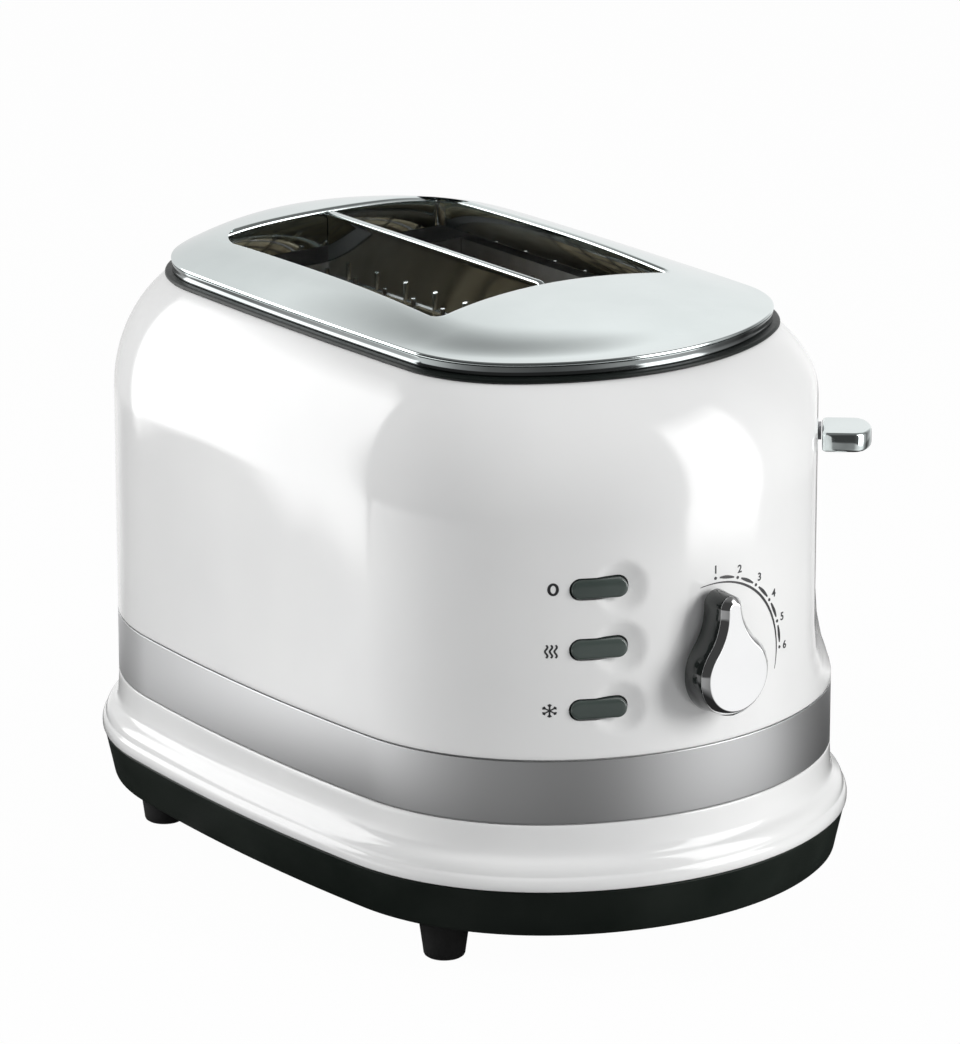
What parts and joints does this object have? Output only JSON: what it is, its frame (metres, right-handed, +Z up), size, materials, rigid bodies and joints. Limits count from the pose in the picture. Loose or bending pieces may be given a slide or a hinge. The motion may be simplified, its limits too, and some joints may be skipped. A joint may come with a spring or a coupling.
{
  "type": "two-slice toaster",
  "caption": "Bow-ended two-slice toaster with enamelled shell, brushed band, domed bright top plate, sprung corner lever, browning dial, push buttons and a slide-out crumb tray.",
  "frame": {"origin": "middle of the footprint, on the surface that the feet stand on", "axes": "+Z up, -Y towards the dial and buttons, slots run along Y"},
  "size_m": [0.1904, 0.2917, 0.204],
  "materials": {
    "white_enamel": "glossy enamel",
    "brushed_band": "brushed along its length",
    "dark_base": "semi-matte moulding",
    "rubber": "matte",
    "bright_plate": "polished",
    "mirror_face": "polished",
    "sheet_steel": "plain plated sheet",
    "wire_steel": "bright wire",
    "heating_ribbon": "rolled ribbon",
    "mica": "pressed mica board",
    "magnet_iron": "soft iron",
    "copper_wire": "enamelled winding",
    "dark_moulding": "moulded",
    "gloss_black": "glossy",
    "circuit_board": "laminate"
  },
  "bodies": {
    "root": {"body_shell": "white_enamel", "steel_band": "brushed_band", "base_pan": "dark_base", "cord_gland": "rubber", "foot_front_left": "rubber", "foot_front_right": "rubber", "foot_back_left": "rubber", "foot_back_right": "rubber", "top_plate": "bright_plate", "slot_divider": "bright_plate", "base_screw_front_left": "sheet_steel", "base_screw_front_right": "sheet_steel", "base_screw_back_left": "sheet_steel", "base_screw_back_right": "sheet_steel", "cage_front_plate": "sheet_steel", "cage_back_plate": "sheet_steel", "reflector_left": "sheet_steel", "reflector_right": "sheet_steel", "tray_runner_left": "sheet_steel", "tray_runner_right": "sheet_steel", "top_bridge": "sheet_steel", "wire_guard_outer_left": "wire_steel", "wire_guard_inner_left": "wire_steel", "wire_guard_outer_right": "wire_steel", "wire_guard_inner_right": "wire_steel", "guide_rod_left": "wire_steel", "guide_rod_right": "wire_steel", "return_spring": "wire_steel", "heating_ribbon_outer_left": "heating_ribbon", "heating_ribbon_inner_left": "heating_ribbon", "heating_ribbon_outer_right": "heating_ribbon", "heating_ribbon_inner_right": "heating_ribbon", "heater_board_left": "mica", "heater_board_centre": "mica", "heater_board_right": "mica", "magnet_core": "magnet_iron", "magnet_coil": "copper_wire", "mains_switch": "dark_moulding", "timer_control": "dark_moulding", "cancel_switch": "dark_moulding", "reheat_switch": "dark_moulding", "defrost_switch": "dark_moulding", "control_bracket": "dark_moulding", "timer_board": "circuit_board", "button_board": "circuit_board"},
    "carriage": {"carriage_plate": "sheet_steel", "lift_rack_left": "wire_steel", "lift_rack_right": "wire_steel", "latch_armature": "magnet_iron", "lever_arm": "sheet_steel", "lever_grip": "bright_plate"},
    "dial": {"dial_knob": "gloss_black", "knob_face": "mirror_face", "knob_shaft": "sheet_steel"},
    "cancel": {"cancel_button": "gloss_black"},
    "reheat": {"reheat_button": "gloss_black"},
    "defrost": {"defrost_button": "gloss_black"},
    "tray": {"crumb_tray": "sheet_steel"}
  },
  "joints": [
    {"name": "carriage_slide", "type": "slide", "parent": "root", "child": "carriage", "axis": [0, 0, 1], "range_m": [-0.065, 0], "stiffness_N_per_m": 90, "springref_m": 0.09, "deforming": ["return_spring"]},
    {"name": "dial_turn", "type": "hinge", "parent": "root", "child": "dial", "pos_m": [-0.0037, -0.134, 0.0981], "axis": [0, 1, 0], "range_deg": [0, 90]},
    {"name": "cancel_press", "type": "slide", "parent": "root", "child": "cancel", "axis": [0.4281, 0.9037, 0], "range_m": [0, 0.002], "stiffness_N_per_m": 600, "springref_m": -0.001},
    {"name": "reheat_press", "type": "slide", "parent": "root", "child": "reheat", "axis": [0.4281, 0.9037, 0], "range_m": [0, 0.002], "stiffness_N_per_m": 600, "springref_m": -0.001},
    {"name": "defrost_press", "type": "slide", "parent": "root", "child": "defrost", "axis": [0.4281, 0.9037, 0], "range_m": [0, 0.002], "stiffness_N_per_m": 600, "springref_m": -0.001},
    {"name": "tray_slide", "type": "slide", "parent": "root", "child": "tray", "axis": [0, 1, 0], "range_m": [0, 0.16]}
  ]
}
